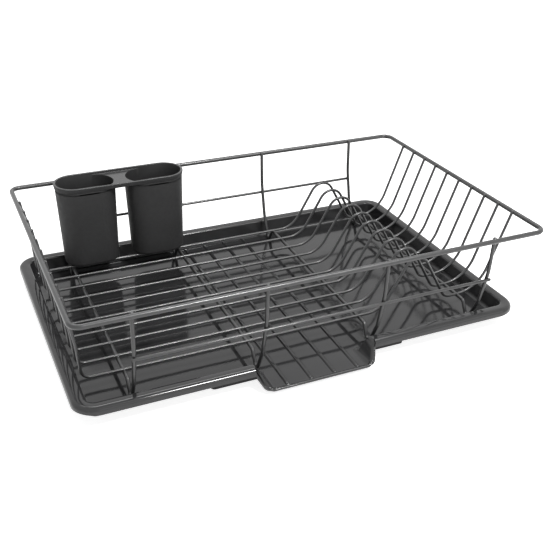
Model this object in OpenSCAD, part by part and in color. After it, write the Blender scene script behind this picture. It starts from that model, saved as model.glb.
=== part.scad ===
// Dish drying rack: a wire basket that stands in a moulded drip tray with a drain spout,
// and a two-well cutlery cup that hangs on the basket's back rim.
// X runs along the length, Y from the front (spout side) to the back, Z up from the worktop.

/* [Rim] */
// Length of the rim, between the wire's centrelines
rim_l = 483; // [440:1:520]
// Width of the rim, between the wire's centrelines
rim_w = 311; // [300:1:330]
// Thickness of the rim wire
rim_d = 4.6; // [3.6:0.1:6]
// Radius of the rim's corners, at the centreline
rim_bend = 10; // [6:1:30]
// Height of the rim above the basket floor, between centrelines
basket_depth = 86; // [80:1:110]

/* [Long wires] */
// Thickness of the lengthwise wires
long_d = 2.6; // [2:0.1:3.4]
// Spacing of the lengthwise wires
long_pitch = 24.2; // [20:0.1:24.6]
// Shift of the row of lengthwise wires towards the back
long_shift = 3.1; // [0:0.1:5]
// How far the wire ends stand above the rim's centreline
end_poke = 2; // [0:0.1:3]
// Distance of the left floor corner from the rim's centreline
left_inset = 12.7; // [10:0.1:20]
// Distance of the left riser's upper knee from the rim's centreline
riser_inset = 10.3; // [6:0.1:14]
// Height of the left riser's upper knee above the basket floor
riser_knee_h = 36; // [25:1:50]
// Distance of the right floor corner from the rim's centreline
right_inset = 34.5; // [30:0.1:45]

/* [Plate humps] */
// Height of the humps that hold plates upright
hump_h = 53.6; // [40:0.1:60]
// Length of a hump at the basket floor
hump_span = 79; // [70:1:90]
// Distance of the hump's outer foot from the rim's centreline
hump_inset = 78; // [72:1:90]
// Bend radius at the top of a hump
hump_bend = 15.3; // [10:0.1:18]
// How far the wire dips between the hump and the right riser
valley_drop = 1; // [0:0.1:2]

/* [Cross wires] */
// Thickness of the cross wires
cross_d = 3.3; // [2.6:0.1:4]
// Spacing of the first three cross wires
cross_pitch = 124.5; // [118:0.5:128]
// Distance of the first cross wire from the rim's left side
first_inset = 51.7; // [46:0.1:58]
// Distance of the last cross wire from the rim's right side
last_inset = 60.5; // [56:0.1:70]
// Distance of an upright's upper knee from the rim's centreline
waist_inset = 5.1; // [4:0.1:7]
// Height of an upright's upper knee above the basket floor
waist_h = 48; // [40:1:60]
// Height of the knee above the foot, above the basket floor
knee_h = 9; // [5:0.5:14]
// Distance of the foot from the rim's centreline
foot_inset = 28.3; // [26:0.1:34]
// Depth of the foot below the basket floor's centreline
foot_drop = 18.2; // [16:0.1:22]
// Bend radius at the foot's tip
foot_bend = 4.5; // [3.5:0.1:6]
// Lean of the foot's outer leg, in degrees
foot_lean_out = 25.3; // [22:0.1:28]
// Lean of the foot's inner leg, in degrees
foot_lean_in = 29.6; // [24:0.1:34]

/* [Side rails] */
// Thickness of the side rails
rail_d = 2.6; // [2:0.1:3.4]
// Height of the front rail above the basket floor
front_rail_h = 39.5; // [25:0.5:45]
// Height of the back rail above the basket floor
back_rail_h = 36.5; // [25:0.5:45]
// Length of the rails beyond the outer uprights
rail_overhang = 3; // [2.5:0.1:8]

/* [Tray] */
// How much shorter than the rim's loop the tray is over its lip
tray_short = 12; // [3:0.5:23]
// How much narrower than the rim's loop the tray is over its lip
tray_narrow = 1; // [-7:0.5:3]
// Shift of the tray towards the right, from the middle of the basket
tray_shift = -10.5; // [-14:0.5:-6]
// Depth of the tray from the top of the lip to its floor
tray_depth = 18.5; // [16:0.1:22]
// Width of the lip
lip_w = 12.5; // [11:0.1:13.5]
// Height of the lip's outer skirt
skirt_h = 7.5; // [5:0.1:9]
// Radius of the lip's outer edge
lip_edge_r = 4.5; // [2.6:0.1:5]
// Radius of the lip's inner edge
inner_edge_r = 1.5; // [0.8:0.1:2]
// Corner radius of the lip
tray_corner_r = 27; // [25:1:45]
// Wall thickness
wall_t = 1.8; // [1.5:0.1:2.2]
// Inward slope of the wall from the lip to the floor
wall_draft = 1.3; // [0.5:0.1:2]
// Fillet between wall and floor
floor_fillet = 4; // [2:0.1:5]
// Thickness of the tray's floor
base_t = 2.2; // [2:0.1:3]

/* [Spout] */
// Clear width of the spout at the lip
spout_w = 127; // [90:1:150]
// Clear width of the spout at its floor
spout_floor_w = 104; // [80:1:120]
// Shift of the spout from the middle of the tray
spout_shift = -3.5; // [-6:0.5:6]
// How far the spout reaches beyond the lip
spout_reach = 14; // [12:0.5:30]
// Drop of the spout's floor to its tip
spout_drop = 1; // [0.5:0.1:1.5]
// Height of the low bead along the spout's tip
tip_bead_h = 2.5; // [1.5:0.1:4]
// Corner radius of the spout's tip
spout_r = 12; // [5:1:14]
// Thickness of the spout's side walls
spout_side_t = 3.3; // [2.4:0.1:4]

/* [Foot pads] */
// Height of the foot pads under the tray
pad_h = 4; // [3.2:0.1:6]
// Length of a foot pad
pad_l = 39; // [20:1:44]
// Width of a foot pad
pad_w = 24; // [14:1:40]
// Distance of a front pad's outer end from the middle of the tray
front_pad_reach = 106.5; // [96:0.5:116]
// Corner radius of a foot pad
pad_r = 4; // [2:0.5:6]
// Set-back of the corner pads from the edge of the base
pad_set_back = 14; // [8:1:30]

/* [Cutlery cup] */
// Length of the cup over both wells
cup_l = 146.5; // [136:0.5:150]
// Width of the cup over its band
cup_w = 46.5; // [42:0.1:47]
// Height of the cup's mouth above the rim's centreline
cup_rise = 10.5; // [6.5:0.1:14]
// Gap between the two wells, below the band
bridge_w = 11; // [8:0.5:16]
// Inward slope of a well's wall from its mouth to its foot
cup_taper = 2.7; // [1.5:0.1:4]
// How far a well's foot stands forward of its mouth
cup_lean = 2.7; // [2:0.1:4]
// Radius of the edge around a well's foot
cup_foot_r = 4; // [3:0.1:6]
// Wall thickness of the cup
cup_wall = 1.6; // [1.2:0.1:2]
// Width of the drain holes in a well's foot
drain_d = 5; // [3:0.5:7]
// Spacing of the drain holes
drain_pitch = 11; // [8:0.5:14]
// Height of the band around the mouths
band_h = 5; // [4:0.1:8]
// How far the band stands out from the wells
band_t = 1; // [0.6:0.1:1.5]
// Depth of the bridge's top below the band's edge
bridge_sink = 1.6; // [0.5:0.1:2.5]
// Distance of the cup's middle from the rim's centreline
cup_set_back = 31.7; // [31.5:0.1:36]
// Distance of the cup's middle from the basket's middle
cup_shift = -126.5; // [-134:0.5:-120]

/* [Cup hooks] */
// Width of a hook
hook_w = 16; // [10:1:20]
// Thickness of a hook
hook_t = 1.8; // [1.4:0.1:2.2]
// Length of a hook's tongue behind the rim
hook_drop = 10; // [6:0.5:14]

/* [Clearances] */
// Clearance between pieces that lift apart
clear = 0.3; // [0.2:0.05:0.5]
// Depth to which welded wires sink into each other
weld = 0.4; // [0.3:0.05:0.5]

/* [Hidden] */
$fn = 72;
// Roundness of the wires and of the cup's wells
wire_fn = 40;
well_fn = 48;
// A bend is this much thicker than its wire, and the straights lap into it this far
bend_swell = 0.02;
bend_lap = 0.15;
// Numbers of wires, as in NODES
long_wires = 10;
cross_wires = 4;

wire_colour = "dimgray";
tray_colour = [0.24, 0.25, 0.26];
cup_colour = [0.20, 0.20, 0.21];

// A cut runs this far past the faces that it opens
over = 1;
// Flat part of the floor that belongs to the tray's edge
edge_lap = 2;

// Bend radii that only soften a wire's run
floor_corner_bend = 10;
riser_knee_bend = 80;
hump_foot_in_bend = 28;
hump_foot_out_bend = 12;
right_corner_bend = 38;
waist_bend = 60;
knee_bend = 15;
foot_root_bend = 5;

// Heights above the worktop
floor_z = pad_h + base_t;
lip_z = floor_z + tray_depth;
basket_z = floor_z + clear + foot_drop;
rim_z = basket_z + basket_depth;
cup_z = basket_z + long_d / 2 + clear;
cup_h = rim_z + cup_rise - cup_z;

// The tray's lip follows the basket above it
tray_l = rim_l - tray_short;
tray_w = rim_w - tray_narrow;

// How far the hook reaches behind the rim's centreline
hook_reach = rim_d / 2 + clear + hook_t;

// The origin lies in the middle of the whole, so the basket is set off from it
left_end = min(tray_shift - tray_l / 2, -(rim_l + rim_d) / 2);
right_end = max(tray_shift + tray_l / 2, (rim_l + rim_d) / 2);
front_end = -tray_w / 2 - spout_reach;
back_end = max(tray_w / 2, rim_w / 2 + hook_reach);
basket_x = -(left_end + right_end) / 2;
basket_y = -(front_end + back_end) / 2;
tray_x = basket_x + tray_shift;

// ---- Wires bent in one plane ----
// A path is a list of [x, y, bend radius]; its first and last radius are not used.

function flat(p) = [p.x, p.y];
function heading(a, b) = atan2(b.y - a.y, b.x - a.x);
function wrap(a) = a > 180 ? a - 360 : a < -180 ? a + 360 : a;
function turn_at(path, i) =
    wrap(heading(path[i], path[i + 1]) - heading(path[i - 1], path[i]));
function along(a) = [cos(a), sin(a)];
// Length that the bend at corner i takes from the straights on both sides
function trim_at(path, i) =
    i == 0 || i == len(path) - 1 ? 0 : path[i].z * tan(abs(turn_at(path, i)) / 2);
// Length by which a straight laps into the bend at corner i
function lap_at(path, i) = i == 0 || i == len(path) - 1 ? 0 : bend_lap;

module straight(path, i, d) {
    a = heading(path[i], path[i + 1]);
    gap = norm(flat(path[i + 1]) - flat(path[i]));
    from = trim_at(path, i) - lap_at(path, i);
    to = gap - trim_at(path, i + 1) + lap_at(path, i + 1);
    start = flat(path[i]) + from * along(a);
    translate([start.x, start.y, 0])
        rotate([0, 90, a])
            cylinder(h = to - from, d = d, $fn = wire_fn);
}

module bend(path, i, d) {
    a = heading(path[i - 1], path[i]);
    turn = turn_at(path, i);
    side = sign(turn);
    r = path[i].z;
    centre = flat(path[i]) - trim_at(path, i) * along(a) + r * side * along(a + 90);
    translate([centre.x, centre.y, 0])
        rotate([0, 0, turn > 0 ? a - 90 : a + 90 + turn])
            rotate_extrude(angle = abs(turn), $fn = wire_fn)
                translate([r, 0])
                    circle(d = d + bend_swell, $fn = wire_fn);
}

module bent_wire(path, d) {
    for (i = [0 : len(path) - 2])
        straight(path, i, d);
    for (i = [1 : len(path) - 2])
        bend(path, i, d);
}

function mirrored(path) = [for (i = [len(path) - 1 : -1 : 0]) [-path[i].x, path[i].y, path[i].z]];

// ---- Basket ----

module rim() {
    half_l = rim_l / 2;
    half_w = rim_w / 2;
    // The loop starts and ends in the middle of the front run
    loop = [
        [0, -half_w, 0],
        [half_l, -half_w, rim_bend],
        [half_l, half_w, rim_bend],
        [-half_l, half_w, rim_bend],
        [-half_l, -half_w, rim_bend],
        [0, -half_w, 0]
    ];
    color(wire_colour)
        translate([basket_x, basket_y, rim_z])
            bent_wire(loop, rim_d);
}

// Distance of a wire that is welded inside the rim from the rim's centreline
function inside_rim(d) = (rim_d + d) / 2 - weld;

// The point where a line from a to b reaches height y
function at_height(a, b, y) = a + (b - a) * (y - a.y) / (b.y - a.y);

// Corner of a hump's two flanks, from the height and the bend of its rounded top
hump_core = hump_h - hump_bend;
hump_slope = atan2(hump_core, hump_span / 2) + asin(hump_bend / norm([hump_core, hump_span / 2]));
hump_corner_h = hump_span / 2 * tan(hump_slope);

module long_wire(i) {
    half = rim_l / 2;
    left_knee = [-half + riser_inset, riser_knee_h];
    left_weld = [-half + inside_rim(long_d), basket_depth];
    left_end = at_height(left_knee, left_weld, basket_depth + end_poke);
    right_corner = [half - right_inset, -valley_drop];
    right_weld = [half - inside_rim(long_d), basket_depth];
    right_end = at_height(right_corner, right_weld, basket_depth + end_poke);
    hump_out = half - hump_inset;
    path = [
        [left_end.x, left_end.y, 0],
        [left_knee.x, left_knee.y, riser_knee_bend],
        [-half + left_inset, 0, floor_corner_bend],
        [hump_out - hump_span, 0, hump_foot_in_bend],
        [hump_out - hump_span / 2, hump_corner_h, hump_bend],
        [hump_out, -valley_drop, hump_foot_out_bend],
        [right_corner.x, right_corner.y, right_corner_bend],
        [right_end.x, right_end.y, 0]
    ];
    // Wire 1 is the one at the back
    y = long_shift + ((long_wires + 1) / 2 - i) * long_pitch;
    color(wire_colour)
        translate([basket_x, basket_y + y, basket_z])
            rotate([90, 0, 0])
                bent_wire(path, long_d);
}

// Cross wire: distances from the middle of the basket, at the centreline
top_y = rim_w / 2 - inside_rim(cross_d);
waist_y = rim_w / 2 - waist_inset;
foot_y = rim_w / 2 - foot_inset;
// The foot's two legs meet in a corner below its rounded tip
foot_opening = foot_lean_out + foot_lean_in;
foot_skew = (foot_lean_out - foot_lean_in) / 2;
foot_corner = cross_d / 2 - foot_drop + foot_bend - foot_bend / sin(foot_opening / 2) * cos(foot_skew);
knee_y = foot_y + (knee_h - foot_corner) * tan(foot_lean_out);
// The floor run is welded under the long wires
run = weld - (long_d + cross_d) / 2;
root_y = foot_y - (run - foot_corner) * tan(foot_lean_in);

module cross_wire(i) {
    top = at_height([waist_y, waist_h], [top_y, basket_depth], basket_depth + end_poke);
    back = [
        [root_y, run, foot_root_bend],
        [foot_y, foot_corner, foot_bend],
        [knee_y, knee_h, knee_bend],
        [waist_y, waist_h, waist_bend],
        [top.x, top.y, 0]
    ];
    color(wire_colour)
        translate([basket_x + upright_x(i), basket_y, basket_z])
            rotate([90, 0, 90])
                bent_wire(concat(mirrored(back), back), cross_d);
}

// The last cross wire keeps its distance from the right end, the others from the left end
function upright_x(i) =
    i < cross_wires ? -rim_l / 2 + first_inset + (i - 1) * cross_pitch : rim_l / 2 - last_inset;

module side_rail(side, h) {
    // The rail is welded to the outside of the uprights, which lean between knee and waist
    upright = at_height([knee_y, knee_h], [waist_y, waist_h], h);
    y = side * (upright.x + (cross_d + rail_d) / 2 - weld);
    start = upright_x(1) - rail_overhang;
    color(wire_colour)
        translate([basket_x + start, basket_y + y, basket_z + h])
            rotate([0, 90, 0])
                cylinder(h = upright_x(cross_wires) + rail_overhang - start, d = rail_d);
}

module front_rail() { side_rail(-1, front_rail_h); }
module back_rail() { side_rail(1, back_rail_h); }

// ---- Tray ----

function arc(cx, cy, r, from, to, steps) =
    [for (k = [0 : steps]) [cx + r * cos(from + (to - from) * k / steps),
                            cy + r * sin(from + (to - from) * k / steps)]];

function rounded(l, w, r, steps) = concat(
    arc(l / 2 - r, w / 2 - r, r, 0, 90, steps),
    arc(-l / 2 + r, w / 2 - r, r, 90, 180, steps),
    arc(-l / 2 + r, -w / 2 + r, r, 180, 270, steps),
    arc(l / 2 - r, -w / 2 + r, r, 270, 360, steps)
);

// Distance from the lip's edge to where the flat floor begins
wall_foot = lip_w + wall_draft;
floor_edge = wall_foot + floor_fillet + edge_lap;

// Section of lip, wall and floor edge: x inward from the lip's edge, y up from the worktop
module edge_section() {
    outer_fillet = floor_fillet + wall_t;
    polygon(concat(
        [[0, lip_z - skirt_h]],
        arc(lip_edge_r, lip_z - lip_edge_r, lip_edge_r, 180, 90, 6),
        arc(lip_w - inner_edge_r, lip_z - inner_edge_r, inner_edge_r, 90, 0, 4),
        arc(wall_foot + floor_fillet, floor_z + floor_fillet, floor_fillet, 180, 270, 6),
        [[floor_edge, floor_z], [floor_edge, pad_h]],
        arc(wall_foot - wall_t + outer_fillet, pad_h + outer_fillet, outer_fillet, 270, 180, 6),
        [[lip_w - wall_t, lip_z - wall_t - inner_edge_r], [lip_w - wall_t - 1, lip_z - wall_t]],
        arc(lip_edge_r, lip_z - lip_edge_r, lip_edge_r - wall_t, 90, 180, 4),
        [[wall_t, lip_z - skirt_h]]
    ));
}

module edge_run(length) {
    translate([0, length / 2, 0])
        rotate([90, 0, 0])
            linear_extrude(length)
                edge_section();
}

module edge_corner() {
    rotate_extrude(angle = 90)
        translate([tray_corner_r, 0])
            mirror([1, 0])
                edge_section();
}

module tray_edge() {
    run_l = tray_l / 2 - tray_corner_r;
    run_w = tray_w / 2 - tray_corner_r;
    for (side = [0, 180])
        rotate([0, 0, side]) {
            translate([-tray_l / 2, 0, 0])
                edge_run(2 * run_w);
            translate([0, -tray_w / 2, 0])
                rotate([0, 0, 90])
                    edge_run(2 * run_l);
            translate([run_l, run_w, 0])
                edge_corner();
            translate([-run_l, run_w, 0])
                rotate([0, 0, 90])
                    edge_corner();
        }
}

tip_floor_z = floor_z - spout_drop;
// How far the tip's face leans out from its foot to its top, and its chamfer at the foot
tip_lean = 2.5;
tip_chamfer = 1;

// Plan of the spout: y outward from the lip's edge, narrowing from the lip to the tip
module spout_plan(w, tip_w, reach, r) {
    root = -lip_edge_r;
    slope = atan2((w - tip_w) / 2, reach - root);
    // Centre of the rounded corner, which touches the side and the tip
    c = tip_w / 2 - r * (1 - sin(slope)) / cos(slope);
    corner = arc(c, reach - r, r, slope, 90, 8);
    mirrored_corner = [for (k = [len(corner) - 1 : -1 : 0]) [-corner[k].x, corner[k].y]];
    polygon(concat([[-w / 2, -floor_edge], [w / 2, -floor_edge], [w / 2, root]], corner,
                   mirrored_corner, [[-w / 2, root]]));
}

// The spout seen from the front: sides that lean in towards the floor
module spout_front(w, floor_w, foot_z, r) {
    top = lip_z + over;
    lean = atan2((w - floor_w) / 2, lip_z - floor_z);
    side_x = floor_w / 2 + (top - floor_z) * tan(lean);
    foot_x = floor_w / 2 - (floor_z - foot_z) * tan(lean);
    // The corner at the foot is rounded to touch the foot and the side
    c = foot_x - r * (1 - sin(lean)) / cos(lean);
    corner = arc(c, foot_z + r, r, -90, -lean, 6);
    mirrored_corner = [for (k = [len(corner) - 1 : -1 : 0]) [-corner[k].x, corner[k].y]];
    polygon(concat(corner, [[side_x, top], [-side_x, top]], mirrored_corner));
}

// Outside of the spout, seen from the side
module spout_side() {
    foot_z = tip_floor_z - wall_t;
    bead_z = tip_floor_z + tip_bead_h;
    polygon([
        [-floor_edge, pad_h],
        [-lip_edge_r, pad_h],
        [spout_reach - tip_lean - tip_chamfer, foot_z],
        [spout_reach - tip_lean, foot_z + tip_chamfer],
        [spout_reach, bead_z],
        [spout_reach - wall_t, bead_z],
        [0, lip_z - lip_edge_r],
        [-lip_edge_r, lip_z],
        [-lip_w + inner_edge_r, lip_z],
        [-wall_foot, lip_z - lip_edge_r],
        [-floor_edge, floor_z]
    ]);
}

// Channel of the spout, open at the top
module channel_side() {
    bead_z = tip_floor_z + tip_bead_h;
    top = lip_z + over;
    polygon([
        [-floor_edge, floor_z],
        [-lip_w, floor_z],
        [spout_reach - wall_t - tip_lean, tip_floor_z],
        [spout_reach - wall_t, bead_z],
        [spout_reach + over, bead_z],
        [spout_reach + over, top],
        [-floor_edge, top]
    ]);
}

// Common solid of the three views of the spout
module from_views(half_w) {
    intersection() {
        linear_extrude(lip_z + over)
            children(0);
        translate([0, -floor_edge, 0])
            rotate([90, 0, 180])
                linear_extrude(floor_edge + spout_reach + over)
                    children(1);
        translate([-half_w, 0, 0])
            rotate([90, 0, 90])
                linear_extrude(2 * half_w)
                    children(2);
    }
}

module spout_body() {
    outer_w = spout_w + 2 * spout_side_t;
    outer_floor_w = spout_floor_w + 2 * spout_side_t;
    from_views(spout_w) {
        spout_plan(outer_w, outer_floor_w + 2 * wall_t, spout_reach, spout_r);
        spout_front(outer_w, outer_floor_w, tip_floor_z - wall_t, spout_r);
        spout_side();
    }
}

module spout_channel() {
    from_views(spout_w) {
        spout_plan(spout_w, spout_floor_w + 2 * wall_t, spout_reach + over, spout_r - wall_t);
        spout_front(spout_w, spout_floor_w, tip_floor_z, spout_r - wall_t);
        channel_side();
    }
}

module at_spout() {
    translate([spout_shift, -tray_w / 2, 0])
        mirror([0, 1, 0])
            children();
}

module foot_pads() {
    base_l = tray_l / 2 - wall_foot - floor_fillet;
    base_w = tray_w / 2 - wall_foot - floor_fillet;
    // Two pads flank the spout, flush with the front of the base
    for (x = [-1, 1]) {
        translate([x * (front_pad_reach - pad_l / 2), -base_w + pad_w / 2, 0])
            pad();
        for (y = [-1, 1])
            translate([x * (base_l - pad_set_back - pad_l / 2),
                       y * (base_w - pad_set_back - pad_w / 2), 0])
                pad();
    }
}

module pad() {
    linear_extrude(pad_h + base_t / 2)
        polygon(rounded(pad_l, pad_w, pad_r, 6));
}

module drain_tray() {
    inset = floor_edge - edge_lap / 2;
    color(tray_colour)
        translate([tray_x, basket_y, 0]) {
            difference() {
                union() {
                    tray_edge();
                    translate([0, 0, pad_h])
                        linear_extrude(base_t)
                            polygon(rounded(tray_l - 2 * inset, tray_w - 2 * inset, tray_corner_r - inset, 6));
                    at_spout()
                        spout_body();
                }
                at_spout()
                    spout_channel();
            }
            foot_pads();
        }
}

// ---- Cutlery cup ----

// Length and width of one well at its mouth, outside the wall
well_l = (cup_l - bridge_w) / 2 - band_t;
well_w = cup_w - 2 * band_t;
well_x = (bridge_w + well_l) / 2;

// Half of a rounded foot's section, from the middle out to radius r
module foot_section(r, edge_r) {
    polygon(concat([[0, edge_r], [0, 0]], arc(r - edge_r, edge_r, edge_r, -90, 0, 6)));
}

// One well: a slot shape that narrows from the mouth to a foot with a rounded edge.
// A negative grow gives the hollow, which is that much smaller on all sides.
module well(bottom, top, grow) {
    sliver = 0.01;
    end_x = (well_l - well_w) / 2;
    hull()
        for (x = [-end_x, end_x]) {
            translate([x, 0, top - sliver])
                cylinder(h = sliver, r = well_w / 2 + grow, $fn = well_fn);
            translate([x, -cup_lean, bottom])
                rotate_extrude($fn = well_fn)
                    foot_section(well_w / 2 - cup_taper + grow, cup_foot_r + grow);
        }
}

// A row of drain holes through a well's foot
module drain_holes() {
    for (k = [-1.5 : 1.5])
        translate([k * drain_pitch, -cup_lean, -cup_wall])
            cylinder(h = 3 * cup_wall, d = drain_d, $fn = 24);
}

function slot(l, w, steps) = concat(
    arc((l - w) / 2, 0, w / 2, -90, 90, steps),
    arc((w - l) / 2, 0, w / 2, 90, 270, steps)
);

module cup_hook() {
    under = rim_z - cup_z + rim_d / 2 + clear;
    inner = cup_set_back + rim_d / 2 + clear;
    translate([-hook_w / 2, 0, 0])
        rotate([90, 0, 90])
            linear_extrude(hook_w)
                polygon([
                    [well_w / 2 - cup_wall / 2 - band_t, under],
                    [inner, under],
                    [inner, under - hook_drop],
                    [inner + hook_t, under - hook_drop],
                    [inner + hook_t, under + hook_t / 2],
                    [inner + hook_t / 2, under + hook_t],
                    [well_w / 2 - cup_wall / 2 - band_t, under + hook_t]
                ]);
}

module cutlery_cup() {
    color(cup_colour)
        translate([basket_x + cup_shift, basket_y + rim_w / 2 - cup_set_back, cup_z])
            difference() {
                union() {
                    for (x = [-well_x, well_x])
                        translate([x, 0, 0]) {
                            well(0, cup_h, 0);
                            cup_hook();
                        }
                    // Band and bridge
                    translate([0, 0, cup_h - band_h])
                        linear_extrude(band_h)
                            polygon(slot(cup_l, cup_w, 24));
                }
                for (x = [-well_x, well_x])
                    translate([x, 0, 0]) {
                        well(cup_wall, cup_h + over, -cup_wall);
                        drain_holes();
                    }
                bridge_top();
                bridge_hollow();
            }
}

// Sunk top of the bridge: its corners run out along the band to where the mouths are widest
module bridge_top() {
    reach = (bridge_w + well_w) / 2;
    depth = well_w - 2 * cup_wall;
    translate([-reach, -depth / 2, cup_h - bridge_sink])
        cube([2 * reach, depth, bridge_sink + over]);
}

// Hollow under the bridge, inside the band
module bridge_hollow() {
    reach = bridge_w / 2 + well_w / 4;
    depth = well_w - 2 * cup_wall;
    difference() {
        translate([-reach, -depth / 2, cup_h - band_h - over])
            cube([2 * reach, depth, band_h + over - bridge_sink - cup_wall]);
        for (x = [-well_x, well_x])
            translate([x, 0, 0])
                well(0, cup_h, 0);
    }
}

module long_wire_1() { long_wire(1); }
module long_wire_2() { long_wire(2); }
module long_wire_3() { long_wire(3); }
module long_wire_4() { long_wire(4); }
module long_wire_5() { long_wire(5); }
module long_wire_6() { long_wire(6); }
module long_wire_7() { long_wire(7); }
module long_wire_8() { long_wire(8); }
module long_wire_9() { long_wire(9); }
module long_wire_10() { long_wire(10); }
module cross_wire_1() { cross_wire(1); }
module cross_wire_2() { cross_wire(2); }
module cross_wire_3() { cross_wire(3); }
module cross_wire_4() { cross_wire(4); }

rim();
long_wire_1();
long_wire_2();
long_wire_3();
long_wire_4();
long_wire_5();
long_wire_6();
long_wire_7();
long_wire_8();
long_wire_9();
long_wire_10();
cross_wire_1();
cross_wire_2();
cross_wire_3();
cross_wire_4();
front_rail();
back_rail();
drain_tray();
cutlery_cup();
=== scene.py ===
"""Dish drying rack: a coated wire basket in a glossy drip tray with a spout, and a cutlery cup
on the back rim."""

import math

import bmesh
import bpy
from mathutils import Matrix, Vector
from mathutils.kdtree import KDTree


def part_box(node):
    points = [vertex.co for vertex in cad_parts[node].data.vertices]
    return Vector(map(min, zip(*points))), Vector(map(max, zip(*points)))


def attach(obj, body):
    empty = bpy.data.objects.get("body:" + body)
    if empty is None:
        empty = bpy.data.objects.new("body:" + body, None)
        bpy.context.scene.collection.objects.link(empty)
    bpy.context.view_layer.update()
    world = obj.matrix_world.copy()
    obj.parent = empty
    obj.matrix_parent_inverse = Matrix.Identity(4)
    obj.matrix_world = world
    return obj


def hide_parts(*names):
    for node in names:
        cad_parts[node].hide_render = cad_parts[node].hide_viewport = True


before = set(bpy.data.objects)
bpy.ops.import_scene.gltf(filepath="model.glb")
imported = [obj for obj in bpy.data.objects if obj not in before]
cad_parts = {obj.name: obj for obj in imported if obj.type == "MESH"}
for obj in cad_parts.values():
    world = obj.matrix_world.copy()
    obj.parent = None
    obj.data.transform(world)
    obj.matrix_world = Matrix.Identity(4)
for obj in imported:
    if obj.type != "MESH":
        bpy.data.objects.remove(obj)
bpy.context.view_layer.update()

MM = 0.001

# ---- Sizes of the rack, in millimetres, as in the construction ----
# Rim and depth of the basket, how far the wires' ends stand above the rim, and a weld's depth
RIM_L, RIM_W, RIM_D, RIM_BEND = 483, 311, 4.6, 10
BASKET_DEPTH, END_POKE, WELD = 86, 2, 0.4
# Lengthwise wires: their row, then each bend of their path with its inset and radius
LONG_D, LONG_PITCH, LONG_SHIFT, LONG_WIRES = 2.6, 24.2, 3.1, 10
LEFT_KNEE_INSET, LEFT_KNEE_H, LEFT_KNEE_BEND = 10.3, 36, 80
LEFT_CORNER_INSET, LEFT_CORNER_BEND = 12.7, 10
HUMP_H, HUMP_SPAN, HUMP_INSET, HUMP_BEND = 53.6, 79, 78, 15.3
HUMP_START_BEND, VALLEY_BEND, VALLEY_DROP = 28, 12, 1
RIGHT_CORNER_INSET, RIGHT_CORNER_BEND = 34.5, 38
# Cross wires: their row, their feet, and the uprights' knee and waist
CROSS_D, CROSS_PITCH, FIRST_INSET, LAST_INSET, CROSS_WIRES = 3.3, 124.5, 51.7, 60.5, 4
FOOT_INSET, FOOT_DROP, FOOT_BEND, FOOT_TOP_BEND = 28.3, 18.2, 4.5, 5
LEAN_OUT, LEAN_IN = math.radians(25.3), math.radians(29.6)
KNEE_H, KNEE_BEND = 9, 15
WAIST_INSET, WAIST_H, WAIST_BEND = 5.1, 48, 60
# Side rails
RAIL_D, FRONT_RAIL_H, BACK_RAIL_H, RAIL_OVERHANG = 2.6, 39.5, 36.5, 3
# Coating on the wires and on the rails, and the rounding of cut ends as a share of the width
COAT_T, RAIL_COAT_T, END_ROUNDING = 0.23, 0.3, 0.3
# Half sizes of the weld beads: at a crossing, an upright's top, a rail and a lengthwise wire's end
CROSSING_BEAD, UPRIGHT_BEAD = (2.2, 2, 1.05), (2.35, 1, 2.2)
RAIL_BEAD, END_BEAD = (2.1, 0.95, 2.1), (1, 2.05, 2.1)

# Drip tray: outline, place against the solid tray, lip, skirt, walls and shell
TRAY_L, TRAY_W, TRAY_CORNER_R, TRAY_DEPTH = 472.8, 312, 22, 18.5
TRAY_TO_RIGHT, TRAY_TO_BACK = 0.9, 1
LIP_W, LIP_EDGE_R, LIP_FALL, INNER_EDGE_R = 12.5, 4.8, 0.5, 2.2
SKIRT_H, CORNER_LIFT = 7.5, 1.2
WALL_DRAFT, FLOOR_FILLET, SHELL_T, SHARP_EDGE_R = 1.3, 4, 1.4, 0.35
# Spout: width at the lip and at the floor, reach, corners, and how far inside the lip its
# flanks start
SPOUT_W, SPOUT_FLOOR_W, SPOUT_SHIFT, SPOUT_REACH, SPOUT_R = 124.5, 103, -3.6, 14, 12
SPOUT_SIDE_T, TIP_FLARE, FLANK_START = 3.3, 1.8, 3.5
# Its floor's fall, with the bead at the tip: where the fall ends, where the bead starts and tops
SPOUT_DROP, DROP_END, BEAD_START, BEAD_TOP = 0.3, 5, 5.5, 2.2
BEAD_H, BEAD_R, TIP_LEAN, TIP_SKIRT_H = 2.5, 1.6, 2.5, 1.8
# Its sides: how far inside the lip's edge they start to fall, how far before the tip they end, the
# width over which they reach the lip, and the softness of each meeting
SIDE_FALL_START, SIDE_FALL_END, SIDE_ZONE = 2.5, 1.8, 12
SIDE_OVERSHOOT, SIDE_TO_LIP, SIDE_TO_TOP = 0.75, 3, 2.5
CHANNEL_FILLET, OUTER_FILLET = 5, 0.5
# Floor ribs: places, run of their sloping sides, how far they sink into the floor and spread
# there, and where they end behind the floor's edge and before the spout's tip
RIB_W, RIB_H, RIB_PLACES = 4.8, 1.4, (-38.4, -13.4, 11.6, 36.6)
RIB_SLOPE, RIB_SUNK, RIB_SPREAD, RIB_BACK, RIB_FRONT = 1.5, 0.5, 0.1, 1.5, 7
# Their rounded upper edge as (inward, upward) from its corner, and their ends as (run, share of
# the height)
RIB_EDGE = ((-0.12, -0.14), (0.05, -0.02), (0.3, 0))
RIB_BACK_END, RIB_FRONT_END = ((0, 0.0), (1, 0.6), (2.5, 1.0)), ((1.2, 0.6), (2, 0.0))
# Foot pads
PAD_L, FRONT_PAD_L, PAD_W, PAD_R = 39, 62, 24, 4
PAD_SET_BACK, PAD_REACH, PAD_SUNK, PAD_FOOT_R = 14, 105.5, 0.4, 0.8

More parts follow.
